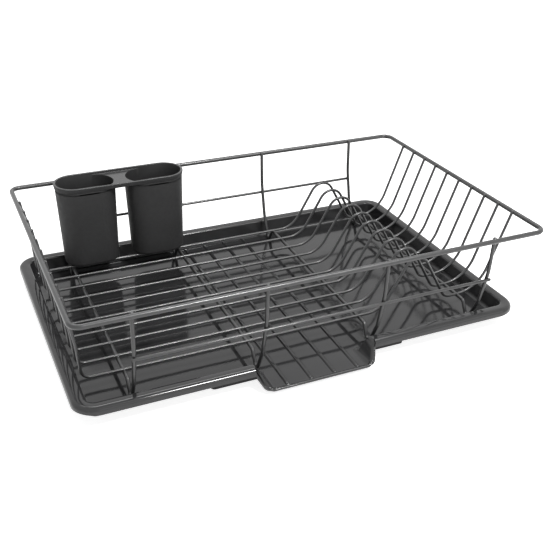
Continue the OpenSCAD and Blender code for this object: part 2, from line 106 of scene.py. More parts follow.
# Cutlery cup: outline, taper of the wells, band, bridge and place behind the rim
CUP_L, CUP_W, CUP_H, BRIDGE_W = 146.5, 46.5, 94.9, 11
CUP_TAPER, CUP_LEAN, CUP_FOOT_R, CUP_WALL = 2.7, 2.7, 4, 1.6
BAND_H, BAND_T, BAND_EDGE_R = 5, 1, 0.35
# The band's side as (inset, height over its foot), and the wells' neck under it as (height over
# the neck, inset), up to its inset inside the band
BAND_STEPS = ((0.95, 0), (0.6, 0.3), (0, 3.6))
NECK_DROP, NECK_STEPS, NECK_INSET = 2, ((-1.5, 0), (0.8, 0.5)), 0.6
# The eased edge of the mouths, with its steps as shares (outward, upward)
MOUTH_EASE, MOUTH_STEPS = 0.4, ((0.13, 0.5), (0.5, 0.87), (1, 1))
BRIDGE_SINK, BRIDGE_FILLET, BRIDGE_EASE = 3, 0.9, 0.25
CUP_SET_BACK, CUP_SHIFT = 31.7, -126.5
# Hooks, with the clearance over the rim, and drain holes
HOOK_W, HOOK_T, HOOK_DROP, HOOK_ROOT, HOOK_R, CLEAR = 16, 1.8, 10, 1.2, 0.8, 0.3
HOOK_INNER_TURN, HOOK_OUTER_TURN = (0.5, 1.05), (1.25, 0.95, 0.63, 0.31)
DRAIN_D, DRAIN_PITCH, DRAINS, DRAIN_CUT = 5, 11, 4, 6

# ---- Places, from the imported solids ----
rim_low, rim_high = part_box("rim")
tray_low, tray_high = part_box("drain_tray")
cup_low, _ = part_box("cutlery_cup")
RIM_Z = (rim_low.z + rim_high.z) / 2 / MM
BASKET = Vector(
    (
        (rim_low.x + rim_high.x) / 2 / MM,
        (rim_low.y + rim_high.y) / 2 / MM,
        RIM_Z - BASKET_DEPTH,
    )
)
TRAY_X = (tray_low.x + tray_high.x) / 2 / MM + TRAY_TO_RIGHT
TRAY_Y = BASKET.y + TRAY_TO_BACK
LIP_Z = tray_high.z / MM
FLOOR_Z = LIP_Z - TRAY_DEPTH
CUP = Vector((BASKET.x + CUP_SHIFT, BASKET.y + RIM_W / 2 - CUP_SET_BACK, cup_low.z / MM))

# ---- Fineness of the meshes ----
WIRE_SIDES, DRAIN_SIDES = 24, 24
BEND_STEP = math.radians(6)
INNER_EDGE_STEPS, WALL_STEPS, FILLET_STEPS, FLOOR_STEPS = 6, 8, 8, (1, 2.2)
SKIRT_STEPS, LIP_EDGE_STEPS, LIP_STEPS, CORNER_STEPS = 3, 9, 18, 14
# Along the spout: fine steps at its flanks, and coarse ones across its middle
FLANK_MARGIN, FLANK_STEP, MIDDLE_HALF, MIDDLE_STEPS = 13, 0.75, 40, 10
CHANNEL_STEPS, SLOT_STEPS, SIDE_STEPS = 8, 20, 6
# Points nearer than this in metres are merged. In millimetres: places this near count as equal,
# the floor's loop may stand this far off its level, and cutters reach this far past what they cut
DOUBLES, WIDE_DOUBLES = 1e-6, 2e-6
SLACK, LEVEL_SLACK, OVERCUT = 0.01, 0.2, 1
# Noise seldom leaves this range
NOISE_LOW, NOISE_HIGH = 0.3, 0.7


# ---- Modelling by hand ----
def deselect_all():
    if bpy.context.object and bpy.context.object.mode != "OBJECT":
        bpy.ops.object.mode_set(mode="OBJECT")
    bpy.ops.object.select_all(action="DESELECT")


def select_only(*objects):
    """Selects these objects and nothing else, and makes the first one active."""
    deselect_all()
    for obj in objects:
        obj.select_set(True)
    bpy.context.view_layer.objects.active = objects[0]


def into_edit():
    """Applies the new primitive's place and opens it for editing with everything selected."""
    bpy.ops.object.transform_apply(location=True, rotation=True, scale=True)
    bpy.ops.object.mode_set(mode="EDIT")
    bpy.ops.mesh.select_mode(type="VERT")
    bpy.ops.mesh.select_all(action="SELECT")
    return bpy.context.object


def pick(obj, wanted, kind="verts"):
    """Selects the points, edges or faces for which wanted is true, and nothing else."""
    bpy.ops.mesh.select_mode(type={"verts": "VERT", "edges": "EDGE", "faces": "FACE"}[kind])
    bpy.ops.mesh.select_all(action="DESELECT")
    bm = bmesh.from_edit_mesh(obj.data)
    for part in getattr(bm, kind):
        if wanted(part):
            part.select_set(True)
    bm.select_flush_mode()
    bmesh.update_edit_mesh(obj.data)


def extrude_to(obj, old, new):
    """Extrudes the selected edges, and moves each new point from its old place to its new one."""
    bpy.ops.mesh.extrude_edges_indiv()
    tree = KDTree(len(old))
    for i, point in enumerate(old):
        tree.insert(point, i)
    tree.balance()
    bm = bmesh.from_edit_mesh(obj.data)
    for v in bm.verts:
        if v.select:
            v.co = new[tree.find(v.co)[1]]
    bmesh.update_edit_mesh(obj.data)


def rename(obj, name):
    obj.name = name
    obj.data.name = name


def finish_mesh(obj, name, smooth=40, merge=DOUBLES):
    """Merges doubles, turns the faces outwards and shades the piece."""
    bpy.ops.mesh.select_all(action="SELECT")
    bpy.ops.mesh.remove_doubles(threshold=merge)
    bpy.ops.mesh.normals_make_consistent(inside=False)
    bpy.ops.object.mode_set(mode="OBJECT")
    rename(obj, name)
    bpy.ops.object.shade_smooth_by_angle(angle=math.radians(smooth))
    return obj


def copy_of(obj, name, offset=(0, 0, 0)):
    """A copy with its own mesh, moved by an offset in millimetres."""
    new = obj.copy()
    new.data = obj.data.copy()
    rename(new, name)
    new.data.transform(Matrix.Translation(Vector(offset) * MM))
    bpy.context.scene.collection.objects.link(new)
    return new


def joined(name, objects):
    select_only(*objects)
    bpy.ops.object.join()
    rename(objects[0], name)
    return objects[0]


def apply_modifier(obj, kind, **settings):
    """Adds a modifier, sets it and applies it."""
    select_only(obj)
    modifier = obj.modifiers.new(kind.title(), kind)
    for key, value in settings.items():
        setattr(modifier, key, value)
    bpy.ops.object.modifier_apply(modifier=modifier.name)


def round_sharp_edges(obj, segments, smooth):
    """Rounds the edges that stand at more than 50 degrees, and shades the piece again."""
    limit = math.radians(50)
    width = SHARP_EDGE_R * MM
    apply_modifier(
        obj, "BEVEL", width=width, segments=segments, limit_method="ANGLE", angle_limit=limit
    )
    select_only(obj)
    bpy.ops.object.shade_smooth_by_angle(angle=math.radians(smooth))


def boolean(obj, cutter, operation):
    apply_modifier(obj, "BOOLEAN", object=cutter, operation=operation, solver="EXACT")
    bpy.data.objects.remove(cutter)


def lofted(name, rings):
    """A closed piece through rings of equal counts, capped at both ends."""
    deselect_all()
    bpy.ops.mesh.primitive_circle_add(vertices=len(rings[0]), radius=MM, fill_type="NGON")
    obj = into_edit()
    bm = bmesh.from_edit_mesh(obj.data)
    for v, point in zip(bm.verts, rings[0]):
        v.co = point
    bmesh.update_edit_mesh(obj.data)
    pick(obj, lambda e: True, "edges")
    for old, new in zip(rings, rings[1:]):
        extrude_to(obj, old, new)
    bpy.ops.mesh.edge_face_add()
    return finish_mesh(obj, name)


# ---- Bent wires ----
def wire_ring(centre, heading, width):
    deselect_all()
    bpy.ops.mesh.primitive_circle_add(
        vertices=WIRE_SIDES,
        radius=width / 2,
        location=centre,
        rotation=heading.to_track_quat("Z", "Y").to_euler(),
    )
    return into_edit()


def round_wire_ends(obj, width):
    pick(obj, lambda f: len(f.verts) == WIRE_SIDES, "faces")
    bpy.ops.mesh.bevel(offset=width * MM * END_ROUNDING, segments=4, affect="EDGES")


def bent_wire(name, path, width, place, closed=False):
    """A ring extruded along the path's straights and spun round its bends. The path holds
    (x, y, bend radius), and place gives each point's place on the rack."""
    points = [place(p[0], p[1]) * MM for p in path]
    headings = [(b - a).normalized() for a, b in zip(points, points[1:])]
    turns = [0.0] + [a.angle(b) for a, b in zip(headings, headings[1:])] + [0.0]
    trims = [p[2] * MM * math.tan(turn / 2) for p, turn in zip(path, turns)]
    obj = wire_ring(points[0], headings[0], (width + 2 * COAT_T) * MM)
    for i, heading in enumerate(headings):
        length = (points[i + 1] - points[i]).length - trims[i] - trims[i + 1]
        bpy.ops.mesh.extrude_region_move(TRANSFORM_OT_translate={"value": heading * length})
        if i + 1 < len(headings):
            axis = heading.cross(headings[i + 1]).normalized()
            start = points[i + 1] - heading * trims[i + 1]
            bpy.ops.mesh.spin(
                steps=max(2, math.ceil(turns[i + 1] / BEND_STEP)),
                angle=-turns[i + 1],
                center=start + axis.cross(heading) * path[i + 1][2] * MM,
                axis=axis,
            )
    if not closed:
        bpy.ops.mesh.select_all(action="SELECT")
        bpy.ops.mesh.fill_holes(sides=0)
        round_wire_ends(obj, width)
    return finish_mesh(obj, name, merge=WIDE_DOUBLES)


def inside_rim(width):
    """Distance of a wire that is welded inside the rim from the rim's centreline."""
    return (RIM_D + width) / 2 - WELD


def at_height(a, b, height):
    """The point where the line from a to b reaches a height."""
    share = (height - a[1]) / (b[1] - a[1])
    return (a[0] + (b[0] - a[0]) * share, height)


def riser_end(corner, rim_side):
    """The upper end of a riser that leans from its last corner to the rim."""
    return at_height(corner, (rim_side, BASKET_DEPTH), BASKET_DEPTH + END_POKE)


def long_wire_path():
    half = RIM_L / 2
    core = HUMP_H - HUMP_BEND
    slope = math.atan2(core, HUMP_SPAN / 2)
    slope += math.asin(HUMP_BEND / math.hypot(core, HUMP_SPAN / 2))
    corner_h = HUMP_SPAN / 2 * math.tan(slope)
    left_knee = (-half + LEFT_KNEE_INSET, LEFT_KNEE_H)
    right_corner = (half - RIGHT_CORNER_INSET, -VALLEY_DROP)
    hump_out = half - HUMP_INSET
    return [
        (*riser_end(left_knee, -half + inside_rim(LONG_D)), 0),
        (*left_knee, LEFT_KNEE_BEND),
        (-half + LEFT_CORNER_INSET, 0, LEFT_CORNER_BEND),
        (hump_out - HUMP_SPAN, 0, HUMP_START_BEND),
        (hump_out - HUMP_SPAN / 2, corner_h, HUMP_BEND),
        (hump_out, -VALLEY_DROP, VALLEY_BEND),
        (*right_corner, RIGHT_CORNER_BEND),
        (*riser_end(right_corner, half - inside_rim(LONG_D)), 0),
    ]


def cross_wire_path():
    foot_y = RIM_W / 2 - FOOT_INSET
    opening, skew = LEAN_OUT + LEAN_IN, (LEAN_OUT - LEAN_IN) / 2
    corner = CROSS_D / 2 + COAT_T - FOOT_DROP + FOOT_BEND
    corner -= FOOT_BEND / math.sin(opening / 2) * math.cos(skew)
    run = WELD - (LONG_D + CROSS_D) / 2
    waist = (RIM_W / 2 - WAIST_INSET, WAIST_H)
    back = [
        (foot_y - (run - corner) * math.tan(LEAN_IN), run, FOOT_TOP_BEND),
        (foot_y, corner, FOOT_BEND),
        (foot_y + (KNEE_H - corner) * math.tan(LEAN_OUT), KNEE_H, KNEE_BEND),
        (*waist, WAIST_BEND),
        (*riser_end(waist, RIM_W / 2 - inside_rim(CROSS_D)), 0),
    ]
    return [(-y, z, r) for y, z, r in reversed(back)] + back


def upright_x(i):
    if i == CROSS_WIRES:
        return RIM_L / 2 - LAST_INSET
    return -RIM_L / 2 + FIRST_INSET + (i - 1) * CROSS_PITCH


def upright_at(height):
    """Distance of an upright's centreline from the basket's middle, between knee and waist."""
    path = cross_wire_path()
    return at_height(path[-3][:2], path[-2][:2], height)[0]


def long_wire_y(i):
    return LONG_SHIFT + ((LONG_WIRES + 1) / 2 - i) * LONG_PITCH


def make_rim():
    """A closed loop that starts in the middle of its front side. Its top and its two ends stay
    where the bare wire has them."""
    half_l, half_w = RIM_L / 2 - COAT_T, RIM_W / 2
    corners = ((1, -1), (1, 1), (-1, 1), (-1, -1))
    loop = [(x * half_l, y * half_w, RIM_BEND) for x, y in corners]
    loop = [(0, -half_w, 0), *loop, (0, -half_w, 0)]
    height = BASKET_DEPTH - COAT_T
    return bent_wire("rim_loop", loop, RIM_D, lambda x, y: BASKET + Vector((x, y, height)), True)


def make_rail(node, side, height):
    """A straight wire, welded to the outside of the uprights."""
    start, end = upright_x(1) - RAIL_OVERHANG, upright_x(CROSS_WIRES) + RAIL_OVERHANG
    out = upright_at(height) + (CROSS_D + RAIL_D) / 2 - WELD + RAIL_COAT_T
    deselect_all()
    bpy.ops.mesh.primitive_cylinder_add(
        vertices=WIRE_SIDES,
        radius=(RAIL_D / 2 + RAIL_COAT_T) * MM,
        depth=(end - start) * MM,
        location=(BASKET + Vector(((start + end) / 2, side * out, height))) * MM,
        rotation=(0, math.pi / 2, 0),
    )
    obj = into_edit()
    round_wire_ends(obj, RAIL_D)
    return finish_mesh(obj, node + "_wire")


RAILS = ((-1, FRONT_RAIL_H, "front_rail"), (1, BACK_RAIL_H, "back_rail"))


def make_basket():
    """The wires by the node that each stands for."""
    pieces = {"rim": make_rim()}
    first = bent_wire(
        "plate_wire_1",
        long_wire_path(),
        LONG_D,
        lambda x, z: BASKET + Vector((x, long_wire_y(1), z)),
    )
    pieces["long_wire_1"] = first
    for i in range(2, LONG_WIRES + 1):
        offset = (0, long_wire_y(i) - long_wire_y(1), 0)
        pieces[f"long_wire_{i}"] = copy_of(first, f"plate_wire_{i}", offset)
    first = bent_wire(
        "foot_wire_1",
        cross_wire_path(),
        CROSS_D,
        lambda y, z: BASKET + Vector((upright_x(1), y, z)),
    )
    pieces["cross_wire_1"] = first
    for i in range(2, CROSS_WIRES + 1):
        offset = (upright_x(i) - upright_x(1), 0, 0)
        pieces[f"cross_wire_{i}"] = copy_of(first, f"foot_wire_{i}", offset)
    for side, height, node in RAILS:
        pieces[node] = make_rail(node, side, height)
    for node, piece in pieces.items():
        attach(piece, "basket")
        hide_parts(node)
    return pieces


def make_weld_beads():
    """Small beads where the wires are welded to each other and to the rim."""
    places = []
    crossing_z = -LONG_D / 2 + WELD / 2
    inside = -RIM_D / 2 + WELD / 2
    for c in range(1, CROSS_WIRES + 1):
        x = upright_x(c)
        for w in range(1, LONG_WIRES + 1):
            places.append(((x, long_wire_y(w), crossing_z), CROSSING_BEAD))
        for side in (-1, 1):
            places.append(((x, side * (RIM_W / 2 + inside), BASKET_DEPTH), UPRIGHT_BEAD))
        for side, height, _ in RAILS:
            y = side * (upright_at(height) + CROSS_D / 2 - WELD / 2)
            places.append(((x, y, height), RAIL_BEAD))
    for w in range(1, LONG_WIRES + 1):
        for side in (-1, 1):
            places.append(((side * (RIM_L / 2 + inside), long_wire_y(w), BASKET_DEPTH), END_BEAD))
    deselect_all()
    bpy.ops.mesh.primitive_uv_sphere_add(segments=12, ring_count=8, radius=MM)
    model = finish_mesh(into_edit(), "weld_bead", smooth=80)
    beads = []
    for place, half_sizes in places:
        bead = copy_of(model, "weld_bead")
        bead.data.transform(Matrix.Diagonal((*half_sizes, 1)))
        bead.data.transform(Matrix.Translation((BASKET + Vector(place)) * MM))
        beads.append(bead)
    bpy.data.objects.remove(model)
    beads = joined("weld_beads", beads)
    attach(beads, "basket")
    return beads


# ---- Drip tray ----
def smooth_max(a, b, soft):
    """The higher of two heights, with a rounded meeting where they come within soft."""
    h = max(soft - abs(a - b), 0) / soft
    return max(a, b) + h * h * soft / 4


def smooth_min(a, b, soft):
    return -smooth_max(-a, -b, soft)


def ramp(value, start, end):
    """0 before start, 1 after end and an even S between them."""
    t = min(1, max(0, (value - start) / (end - start)))
    return t * t * (3 - 2 * t)


def arc_points(cx, cz, r, start, end, steps):
    angles = [math.radians(start + (end - start) * k / steps) for k in range(steps + 1)]
    return [(cx + r * math.cos(a), cz + r * math.sin(a)) for a in angles]


WALL_FOOT = LIP_W + WALL_DRAFT
FILLET_FOOT = WALL_FOOT + FLOOR_FILLET
TIP_FLOOR_Z = FLOOR_Z - SPOUT_DROP
BEAD_Z = TIP_FLOOR_Z + BEAD_H


def inner_section():
    """The tray inside its lip: the rounded edge, the leaning wall, the fillet and the floor's
    start, as (distance inward from the lip's edge, height)."""
    edge_centre = (LIP_W - INNER_EDGE_R, LIP_Z - LIP_FALL - INNER_EDGE_R)
    edge = arc_points(*edge_centre, INNER_EDGE_R, 84, 0, INNER_EDGE_STEPS)
    fillet_centre = (FILLET_FOOT, FLOOR_Z + FLOOR_FILLET)
    fillet = arc_points(*fillet_centre, FLOOR_FILLET, 180, 270, FILLET_STEPS)
    (x1, z1), (x2, z2) = edge[-1], fillet[0]
    shares = [k / WALL_STEPS for k in range(1, WALL_STEPS)]
    wall = [(x1 + (x2 - x1) * t, z1 + (z2 - z1) * t) for t in shares]
    return edge + wall + fillet + [(FILLET_FOOT + step, FLOOR_Z) for step in FLOOR_STEPS]


INNER_SECTION = inner_section()


def spout_outline(x):
    """How far the spout's outline stands out from the lip's edge, x from its middle."""
    outer = SPOUT_W / 2 + SPOUT_SIDE_T
    tip = SPOUT_FLOOR_W / 2 + SPOUT_SIDE_T + TIP_FLARE
    run = SPOUT_REACH + FLANK_START
    slope = math.atan2(outer - tip, run)
    corner_x = tip - SPOUT_R * (1 - math.sin(slope)) / math.cos(slope)
    x = abs(x)
    if x <= corner_x:
        return SPOUT_REACH
    if x <= corner_x + SPOUT_R * math.cos(slope):
        return SPOUT_REACH - SPOUT_R + math.sqrt(SPOUT_R**2 - (x - corner_x) ** 2)
    return max(0, (outer - x) / (outer - tip) * run - FLANK_START)


def channel_floor(out):
    """Height of the channel's floor, which drops a little to the tip and turns up into its
    bead."""
    drop = SPOUT_DROP * ramp(out, -LIP_W, SPOUT_REACH - DROP_END)
    return FLOOR_Z - drop + BEAD_H * ramp(out, SPOUT_REACH - BEAD_START, SPOUT_REACH - BEAD_TOP)


def side_wall(x):
    """Height of the channel's leaning side, x from the spout's middle."""
    lean = (LIP_Z - FLOOR_Z) / ((SPOUT_W - SPOUT_FLOOR_W) / 2)
    return FLOOR_Z + (abs(x) - SPOUT_FLOOR_W / 2) * lean


def top_line(out):
    """Height of the side's upper edge, which falls from the lip to the tip's bead."""
    share = (out + SIDE_FALL_START) / (SPOUT_REACH - SIDE_FALL_END + SIDE_FALL_START)
    return LIP_Z - (LIP_Z - BEAD_Z) * min(1, max(0, share))


def tray_section(x=None, lift=0.0):
    """The tray's section from the skirt's foot to the floor, as (distance inward from the lip's
    edge, height). x is the place along the front, from the spout's middle, and None away from
    the spout. lift raises the skirt's foot."""
    out = 0 if x is None else spout_outline(x)
    if x is None or abs(x) > SPOUT_W / 2 + SIDE_ZONE:
        side = LIP_Z
    else:
        side = min(smooth_min(side_wall(x), LIP_Z + SIDE_OVERSHOOT, SIDE_TO_LIP), LIP_Z)

    def height(d, plain):
        """Height at a distance inward, where the lip, wall or floor away from the spout has the
        height plain."""
        if x is None:
            return plain
        wall = min(plain, top_line(-d)) if d < 0 else plain
        if side < LIP_Z - SLACK:
            wall = smooth_min(side, wall, SIDE_TO_TOP)
        fillet = CHANNEL_FILLET if abs(x) < SPOUT_W / 2 else OUTER_FILLET
        return smooth_max(wall, channel_floor(-d), fillet)

    edge_z = height(-out, LIP_Z) if out > 0 else LIP_Z
    low = min(1, max(0, (LIP_Z - edge_z) / (LIP_Z - BEAD_Z)))
    r = LIP_EDGE_R + (BEAD_R - LIP_EDGE_R) * low
    foot_z = LIP_Z - SKIRT_H + lift + (TIP_FLOOR_Z - TIP_SKIRT_H - LIP_Z + SKIRT_H) * low
    shares = [k / SKIRT_STEPS for k in range(SKIRT_STEPS)]
    edge = [(-out + TIP_LEAN * low * (1 - t), foot_z + (edge_z - r - foot_z) * t) for t in shares]
    edge += arc_points(-out + r, edge_z - r, r, 180, 90, LIP_EDGE_STEPS)
    start, end = -out + r, INNER_SECTION[0][0]
    top = []
    for k in range(1, LIP_STEPS):
        d = start + (end - start) * (k / LIP_STEPS)
        fall = LIP_FALL * max(0, (d - LIP_EDGE_R) / (end - LIP_EDGE_R)) ** 2
        top.append((d, height(d, LIP_Z - fall)))
    return edge + top + [(d, height(d, z)) for d, z in INNER_SECTION]


def tray_stations():
    """Places round the tray, anticlockwise from the spout: (point on the lip's edge, outward
    angle, place along the spout or None, lift of the skirt's foot)."""
    zone = SPOUT_W / 2 + FLANK_MARGIN
    left = [-zone + k * FLANK_STEP for k in range(round((zone - MIDDLE_HALF) / FLANK_STEP))]
    middle = [
        -MIDDLE_HALF + 2 * MIDDLE_HALF * k / MIDDLE_STEPS for k in range(MIDDLE_STEPS + 1)
    ]
    stations = []
    for x in left + middle + [-x for x in reversed(left)]:
        stations.append((Vector((SPOUT_SHIFT + x, -TRAY_W / 2)), math.radians(-90), x, 0.0))
    half_l, half_w = TRAY_L / 2 - TRAY_CORNER_R, TRAY_W / 2 - TRAY_CORNER_R
    for x, y, start in ((1, -1, -90), (1, 1, 0), (-1, 1, 90), (-1, -1, 180)):
        centre = Vector((x * half_l, y * half_w))
        for k in range(CORNER_STEPS + 1):
            a = math.radians(start + 90 * k / CORNER_STEPS)
            edge = centre + Vector((math.cos(a), math.sin(a))) * TRAY_CORNER_R
            lift = CORNER_LIFT * math.sin(math.pi * k / CORNER_STEPS)
            stations.append((edge, a, None, lift))
    return stations


def make_tray():
    """One section drawn point by point, extruded round the tray, closed by the floor and given
    its thickness."""
    origin = Vector((TRAY_X, TRAY_Y, 0))

    def chain(edge, angle, x, lift):
        out_x, out_y = Vector((math.cos(angle), math.sin(angle)))
        return [
            (origin + Vector((edge.x - out_x * d, edge.y - out_y * d, z))) * MM
            for d, z in tray_section(x, lift)
        ]

    chains = [chain(*station) for station in tray_stations()]
    deselect_all()
    bpy.ops.mesh.primitive_plane_add(size=10 * MM, location=chains[0][0])
    obj = into_edit()
    bpy.ops.mesh.merge(type="CENTER")
    for a, b in zip(chains[0], chains[0][1:]):
        bpy.ops.mesh.extrude_vertices_move(TRANSFORM_OT_translate={"value": b - a})
    bpy.ops.mesh.select_all(action="SELECT")
    for old, new in zip(chains, chains[1:] + chains[:1]):
        extrude_to(obj, old, new)
    bpy.ops.mesh.select_all(action="SELECT")
    bpy.ops.mesh.remove_doubles(threshold=WIDE_DOUBLES)
    # The floor closes the innermost loop
    limit_x = TRAY_L / 2 - INNER_SECTION[-1][0] + SLACK
    limit_y = TRAY_W / 2 - INNER_SECTION[-1][0] + SLACK

    def on_floor(v):
        place = v.co / MM - origin
        level = abs(place.z - FLOOR_Z) < LEVEL_SLACK
        return level and abs(place.x) < limit_x and abs(place.y) < limit_y

    pick(obj, lambda e: e.is_boundary and all(on_floor(v) for v in e.verts), "edges")
    bpy.ops.mesh.edge_face_add()
    bpy.ops.mesh.select_mode(type="VERT")
    finish_mesh(obj, "drip_tray", smooth=50, merge=WIDE_DOUBLES)
    # The faces of an open shell can all come out turned down
    if obj.data.polygons[-1].normal.z < 0:
        select_only(obj)
        bpy.ops.object.mode_set(mode="EDIT")
        bpy.ops.mesh.select_all(action="SELECT")
        bpy.ops.mesh.flip_normals()
        bpy.ops.object.mode_set(mode="OBJECT")
    apply_modifier(obj, "SOLIDIFY", thickness=SHELL_T * MM, offset=-1)
    round_sharp_edges(obj, segments=2, smooth=50)
    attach(obj, "tray")
    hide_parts("drain_tray")
    return obj


def make_floor_ribs():
    """Four low flat ribs along the floor, which run on through the channel to its bead."""
    back = TRAY_W / 2 - FILLET_FOOT + RIB_BACK
    mouth = -TRAY_W / 2 + LIP_W
    front = -TRAY_W / 2 - SPOUT_REACH + RIB_FRONT
    half, top_half = RIB_W / 2, RIB_W / 2 - RIB_SLOPE
    side = [(-half - RIB_SPREAD, -RIB_SUNK), (-half, 0.0)]
    side += [(-top_half + x, RIB_H + z) for x, z in RIB_EDGE]
    section = side + [(-x, z) for x, z in reversed(side)]
    stations = [(back - run, share) for run, share in RIB_BACK_END]
    stations += [
        (mouth + (front - mouth) * k / CHANNEL_STEPS, 1.0) for k in range(CHANNEL_STEPS + 1)
    ]
    stations += [(front - run, share) for run, share in RIB_FRONT_END]

    def ring(y, share):
        floor = channel_floor(-TRAY_W / 2 - y) if y < 0 else FLOOR_Z
        place = Vector((TRAY_X, TRAY_Y + y, floor))
        return [(place + Vector((x, 0, z * share if z > 0 else z))) * MM for x, z in section]

    model = lofted("rib", [ring(y, share) for y, share in stations])
    ribs = [copy_of(model, "floor_rib", (x, 0, 0)) for x in RIB_PLACES]
    bpy.data.objects.remove(model)
    ribs = joined("floor_ribs", ribs)
    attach(ribs, "tray")
    return ribs


def pad_block(name, length):
    """A foot of one length with rounded corners, at the middle, reaching up into the floor."""
    height = FLOOR_Z - SHELL_T + PAD_SUNK
    deselect_all()
    bpy.ops.mesh.primitive_cube_add(size=1, location=(0, 0, height / 2 * MM))
    bpy.context.object.scale = (length * MM, PAD_W * MM, height * MM)
    pad = into_edit()
    pick(pad, lambda e: abs(e.verts[0].co.z - e.verts[1].co.z) > SLACK * MM, "edges")
    bpy.ops.mesh.bevel(offset=PAD_R * MM, segments=8, affect="EDGES")
    pick(pad, lambda e: all(v.co.z < SLACK * MM for v in e.verts), "edges")
    bpy.ops.mesh.bevel(offset=PAD_FOOT_R * MM, segments=3, affect="EDGES")
    return finish_mesh(pad, name, smooth=35)


def make_pads():
    """Two long feet that reach in behind the channel, and one in each corner."""
    base_l, base_w = TRAY_L / 2 - FILLET_FOOT, TRAY_W / 2 - FILLET_FOOT
    front_x, front_y = PAD_REACH - FRONT_PAD_L / 2, -base_w + PAD_W / 2
    corner_x, corner_y = base_l - PAD_SET_BACK - PAD_L / 2, base_w - PAD_SET_BACK - PAD_W / 2
    fronts = [(side * front_x, front_y) for side in (-1, 1)]
    corners = [(end * corner_x, side * corner_y) for side in (-1, 1) for end in (-1, 1)]
    pads = []
    for name, length, centres in (
        ("front_pad", FRONT_PAD_L, fronts),
        ("corner_pad", PAD_L, corners),
    ):
        model = pad_block(name, length)
        pads += [copy_of(model, name, (TRAY_X + x, TRAY_Y + y, 0)) for x, y in centres]
        bpy.data.objects.remove(model)
    pads = joined("foot_pads", pads)
    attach(pads, "tray")
    return pads


# ---- Cutlery cup ----
WELL_W = CUP_W - 2 * BAND_T
WELL_L = (CUP_L - 2 * BAND_T - BRIDGE_W) / 2
WELL_X = (WELL_L + BRIDGE_W) / 2
WELL_STRAIGHT = (WELL_L - WELL_W) / 2


def slot_ring(straight, radius, height, lean=0.0):
    """A slot-shaped outline about the cup's middle, anticlockwise."""
    ring = []
    for side in (1, -1):
        for k in range(SLOT_STEPS + 1):
            a = math.radians(-90 * side + 180 * k / SLOT_STEPS)
            x, y = side * straight + radius * math.cos(a), lean + radius * math.sin(a)
            ring.append((CUP + Vector((x, y, height))) * MM)
    return ring


def well_ring(height, shrink=0.0):
    """The outline of a well at a height, made smaller by shrink."""
    share = height / CUP_H
    radius = WELL_W / 2 - CUP_TAPER * (1 - share) - shrink
    return slot_ring(WELL_STRAIGHT, radius, height, -CUP_LEAN * (1 - share))


def block_ring(half_x, half_y, height):
    corners = ((half_x, -half_y), (half_x, half_y), (-half_x, half_y), (-half_x, -half_y))
    return [(CUP + Vector((x, y, height))) * MM for x, y in corners]


def quarter(r, steps, start, end):
    """Offsets (inward, upward) from the corner of a rounded edge."""
    angles = [math.radians(start + (end - start) * k / steps) for k in range(steps + 1)]
    return [(r * (1 - math.cos(a)), r * math.sin(a)) for a in angles]


def well_form(name, wall, foot_steps, side_top, mouth):
    """A well, wall inside the cup's outer faces: the rounded foot, the sides up to side_top and
    the mouth as (height, shrink)."""
    foot_r = CUP_FOOT_R - wall
    low = wall + foot_r
    foot = reversed(quarter(foot_r, foot_steps, 0, -90))
    rings = [well_ring(low + z, wall + inward) for inward, z in foot]
    for k in range(1, SIDE_STEPS + 1):
        rings.append(well_ring(low + (side_top - low) * k / SIDE_STEPS, wall))
    rings += [well_ring(height, shrink) for height, shrink in mouth]
    return lofted(name, rings)


def outer_well():
    neck = CUP_H - BAND_H - NECK_DROP
    mouth = [(neck + up, inset) for up, inset in NECK_STEPS]
    return well_form("well", 0, 8, neck, [*mouth, (CUP_H - BAND_H / 2, NECK_INSET)])


def inner_well():
    """The hollow of a well, which widens at its eased mouth and ends above the cup."""
    foot_of_ease = CUP_H - MOUTH_EASE
    mouth = [
        (foot_of_ease + MOUTH_EASE * up, CUP_WALL - MOUTH_EASE * outward)
        for outward, up in MOUTH_STEPS
    ]
    mouth.append((CUP_H + OVERCUT, CUP_WALL - MOUTH_EASE))
    return well_form("hollow", CUP_WALL, 6, foot_of_ease, mouth)


def cup_band():
    """The solid band that the wells open through, with its undercut foot and rounded top."""
    straight, radius, foot = (CUP_L - CUP_W) / 2, CUP_W / 2, CUP_H - BAND_H
    rings = [slot_ring(straight, radius - inset, foot + up) for inset, up in BAND_STEPS]
    for inward, z in quarter(BAND_EDGE_R, 4, 0, 90):
        rings.append(slot_ring(straight, radius - inward, CUP_H - BAND_EDGE_R + z))
    return lofted("cutlery_holder", rings)


def room_over_bridge():
    """The room above the sunk plate between the wells, with a fillet and an eased mouth."""
    half_x, half_y = (BRIDGE_W + WELL_W) / 2, WELL_W / 2 - CUP_WALL
    floor = CUP_H - BRIDGE_SINK
    fillet = reversed(quarter(BRIDGE_FILLET, 5, 0, -90))
    rings = [block_ring(half_x, half_y - inward, floor + BRIDGE_FILLET + z) for inward, z in fillet]
    for k in range(3):
        height = CUP_H - MOUTH_EASE + MOUTH_EASE / 2 * k
        rings.append(block_ring(half_x, half_y + BRIDGE_EASE * k * k, height))
    rings.append(block_ring(half_x, half_y + OVERCUT, CUP_H + OVERCUT))
    return lofted("sunk", rings)


def on_both_wells(obj, model, operation):
    for side in (-1, 1):
        boolean(obj, copy_of(model, "cutter", (side * WELL_X, 0, 0)), operation)


def room_under_bridge(well):
    """The room under the plate, between the outer faces of the wells."""
    half_x, half_y = BRIDGE_W / 2 + WELL_W / 4, WELL_W / 2 - CUP_WALL
    heights = (CUP_H - BAND_H - OVERCUT, CUP_H - BRIDGE_SINK - CUP_WALL)
    under = lofted("under", [block_ring(half_x, half_y, height) for height in heights])
    on_both_wells(under, well, "DIFFERENCE")
    return under


